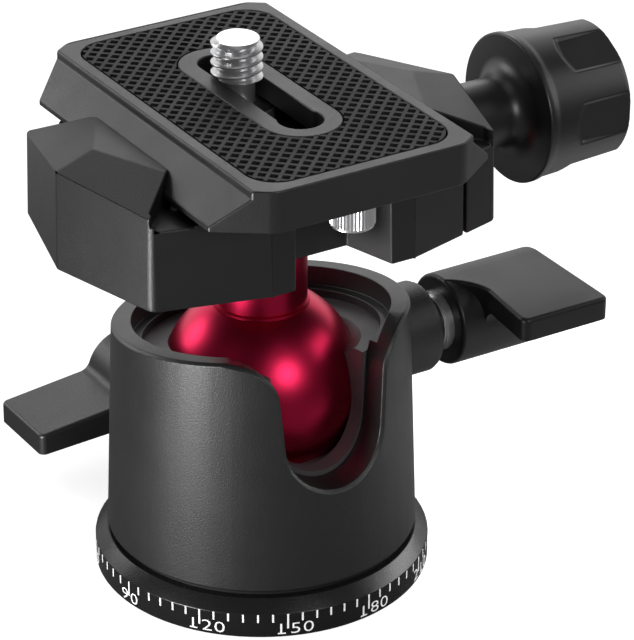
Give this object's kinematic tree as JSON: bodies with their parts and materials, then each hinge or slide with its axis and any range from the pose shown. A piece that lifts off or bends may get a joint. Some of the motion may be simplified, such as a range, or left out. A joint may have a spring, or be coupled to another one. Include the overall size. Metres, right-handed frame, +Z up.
{
  "type": "tripod ball head",
  "caption": "Compact ball head: panning base, notched housing, ball with lever locks, dovetail clamp with a knob, and a sliding quick-release plate with a camera screw.",
  "frame": {"origin": "centre of the base's flat underside", "axes": "+Z up the head, +X towards the clamp knob and main lock, -Y towards the drop notch, +Y towards the pan lock"},
  "size_m": [0.0766, 0.0613, 0.0686],
  "materials": {
    "black_anodised": "fine satin black anodised aluminium",
    "dial_marks": null,
    "red_anodised": "polished red anodised aluminium",
    "liner_black": "black acetal",
    "bright_steel": "turned bright steel",
    "knurled_steel": "straight-knurled nickel-plated steel",
    "pad_rubber": "moulded black rubber, raised diagonal ribs",
    "washer_nylon": "black nylon",
    "spring_steel": "spring steel"
  },
  "bodies": {
    "base": {"base_disc": "dial_marks", "base_thread_insert": "bright_steel", "thread_adapter": "bright_steel", "pan_spindle": "bright_steel", "pan_retainer": "bright_steel", "pan_washer": "washer_nylon", "spindle_screw_1": "bright_steel", "spindle_screw_2": "bright_steel", "spindle_screw_3": "bright_steel", "retainer_screw_1": "bright_steel", "retainer_screw_2": "bright_steel", "retainer_screw_3": "bright_steel"},
    "housing": {"housing": "black_anodised", "upper_seat": "liner_black", "lower_cup": "liner_black", "cup_spring": "spring_steel", "lock_shoe": "liner_black", "pan_shoe": "bright_steel"},
    "main_lock": {"main_lock_lever": "black_anodised", "main_lock_stud": "bright_steel", "main_lock_collar": "bright_steel", "main_lock_spacer": "black_anodised", "main_lock_screw": "bright_steel"},
    "pan_lock": {"pan_lock_lever": "black_anodised", "pan_lock_stud": "bright_steel", "pan_lock_collar": "bright_steel", "pan_lock_screw": "bright_steel"},
    "ball_core": {"ball_core": "bright_steel"},
    "ball": {"ball": "red_anodised"},
    "head": {"ball_stem": "red_anodised", "clamp_body": "black_anodised", "clamp_bolt": "bright_steel", "index_pin": "bright_steel", "guide_pin_front": "bright_steel", "guide_pin_back": "bright_steel"},
    "jaw": {"moving_jaw": "black_anodised"},
    "knob": {"clamp_knob": "black_anodised", "knob_cap": "black_anodised", "knob_washer": "bright_steel", "clamp_screw": "bright_steel"},
    "plate": {"quick_release_plate": "black_anodised", "plate_pad": "pad_rubber", "stop_screw_front": "knurled_steel", "stop_screw_back": "knurled_steel"},
    "screw_clip": {"screw_clip": "spring_steel"},
    "camera_screw": {"camera_screw": "bright_steel"}
  },
  "joints": [
    {"name": "base_pan", "type": "hinge", "parent": "base", "child": "housing", "pos_m": [0, 0, 0], "axis": [0, 0, 1], "continuous": true},
    {"name": "main_lock_turn", "type": "hinge", "parent": "housing", "child": "main_lock", "pos_m": [0.034, 0, 0.0259], "axis": [1, 0, 0], "range_deg": [0, 80]},
    {"name": "pan_lock_turn", "type": "hinge", "parent": "housing", "child": "pan_lock", "pos_m": [0, 0.03, 0.0101], "axis": [0, 1, 0], "range_deg": [0, 60]},
    {"name": "ball_roll", "type": "hinge", "parent": "housing", "child": "ball_core", "pos_m": [0, 0, 0.02474], "axis": [0, 1, 0], "range_deg": [-12, 12]},
    {"name": "ball_tilt", "type": "hinge", "parent": "ball_core", "child": "ball", "pos_m": [0, 0, 0.02474], "axis": [1, 0, 0], "range_deg": [-30, 90]},
    {"name": "head_spin", "type": "hinge", "parent": "ball", "child": "head", "pos_m": [0, 0, 0.02474], "axis": [0, 0, 1], "continuous": true},
    {"name": "jaw_slide", "type": "slide", "parent": "head", "child": "jaw", "axis": [1, 0, 0], "range_m": [0, 0.003]},
    {"name": "knob_turn", "type": "hinge", "parent": "jaw", "child": "knob", "pos_m": [0.042, 0, 0.05303], "axis": [1, 0, 0], "range_deg": [0, 1350]},
    {"name": "plate_slide", "type": "slide", "parent": "head", "child": "plate", "axis": [0, 1, 0], "range_m": [-0.0058, 0.0058]},
    {"name": "screw_slide", "type": "slide", "parent": "plate", "child": "screw_clip", "axis": [0, 1, 0], "range_m": [-0.014, 0.0043]},
    {"name": "screw_spin", "type": "hinge", "parent": "screw_clip", "child": "camera_screw", "pos_m": [0, 0.0054, 0.06], "axis": [0, 0, 1], "continuous": true}
  ],
  "couplings": [
    {"joint": "knob_turn", "follows": "jaw_slide", "rad_per_m": 7854}
  ]
}
